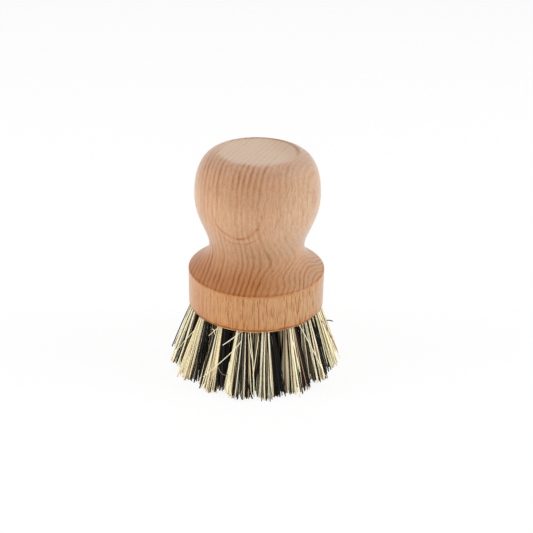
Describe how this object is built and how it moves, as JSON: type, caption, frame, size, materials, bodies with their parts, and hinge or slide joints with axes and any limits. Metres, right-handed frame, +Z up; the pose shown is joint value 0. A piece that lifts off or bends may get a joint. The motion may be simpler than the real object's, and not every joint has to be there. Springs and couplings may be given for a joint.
{
  "type": "pot brush",
  "caption": "Palm-held pot brush: a turned beech knob with a drilled round base and rings of stiff mixed plant-fibre tufts that splay outwards.",
  "frame": {"origin": "on the surface the brush stands on, under the middle of the trimmed bristle tips", "axes": "+Z up along the turned axis of the wooden body, from the bristle tips to the crown of the knob; -Y is the front in the picture"},
  "size_m": [0.062, 0.0622, 0.083],
  "materials": {
    "beech": "bare sanded beech, satin",
    "union_fibre": "mixed stiff plant fibres, black, cream and some brown, matt",
    "anchor_wire": "bright flat steel wire"
  },
  "bodies": {
    "root": {"anchor_wire_inner_01": "anchor_wire", "anchor_wire_inner_02": "anchor_wire", "anchor_wire_inner_03": "anchor_wire", "anchor_wire_middle_01": "anchor_wire", "anchor_wire_middle_02": "anchor_wire", "anchor_wire_middle_03": "anchor_wire", "anchor_wire_middle_04": "anchor_wire", "anchor_wire_middle_05": "anchor_wire", "anchor_wire_middle_06": "anchor_wire", "anchor_wire_middle_07": "anchor_wire", "anchor_wire_middle_08": "anchor_wire", "anchor_wire_middle_09": "anchor_wire", "anchor_wire_middle_10": "anchor_wire", "anchor_wire_outer_01": "anchor_wire", "anchor_wire_outer_02": "anchor_wire", "anchor_wire_outer_03": "anchor_wire", "anchor_wire_outer_04": "anchor_wire", "anchor_wire_outer_05": "anchor_wire", "anchor_wire_outer_06": "anchor_wire", "anchor_wire_outer_07": "anchor_wire", "anchor_wire_outer_08": "anchor_wire", "anchor_wire_outer_09": "anchor_wire", "anchor_wire_outer_10": "anchor_wire", "anchor_wire_outer_11": "anchor_wire", "anchor_wire_outer_12": "anchor_wire", "anchor_wire_outer_13": "anchor_wire", "anchor_wire_outer_14": "anchor_wire", "anchor_wire_outer_15": "anchor_wire", "anchor_wire_outer_16": "anchor_wire", "beech_block": "beech", "tuft_inner_01": "union_fibre", "tuft_inner_02": "union_fibre", "tuft_inner_03": "union_fibre", "tuft_middle_01": "union_fibre", "tuft_middle_02": "union_fibre", "tuft_middle_03": "union_fibre", "tuft_middle_04": "union_fibre", "tuft_middle_05": "union_fibre", "tuft_middle_06": "union_fibre", "tuft_middle_07": "union_fibre", "tuft_middle_08": "union_fibre", "tuft_middle_09": "union_fibre", "tuft_middle_10": "union_fibre", "tuft_outer_01": "union_fibre", "tuft_outer_02": "union_fibre", "tuft_outer_03": "union_fibre", "tuft_outer_04": "union_fibre", "tuft_outer_05": "union_fibre", "tuft_outer_06": "union_fibre", "tuft_outer_07": "union_fibre", "tuft_outer_08": "union_fibre", "tuft_outer_09": "union_fibre", "tuft_outer_10": "union_fibre", "tuft_outer_11": "union_fibre", "tuft_outer_12": "union_fibre", "tuft_outer_13": "union_fibre", "tuft_outer_14": "union_fibre", "tuft_outer_15": "union_fibre", "tuft_outer_16": "union_fibre"}
  },
  "joints": []
}
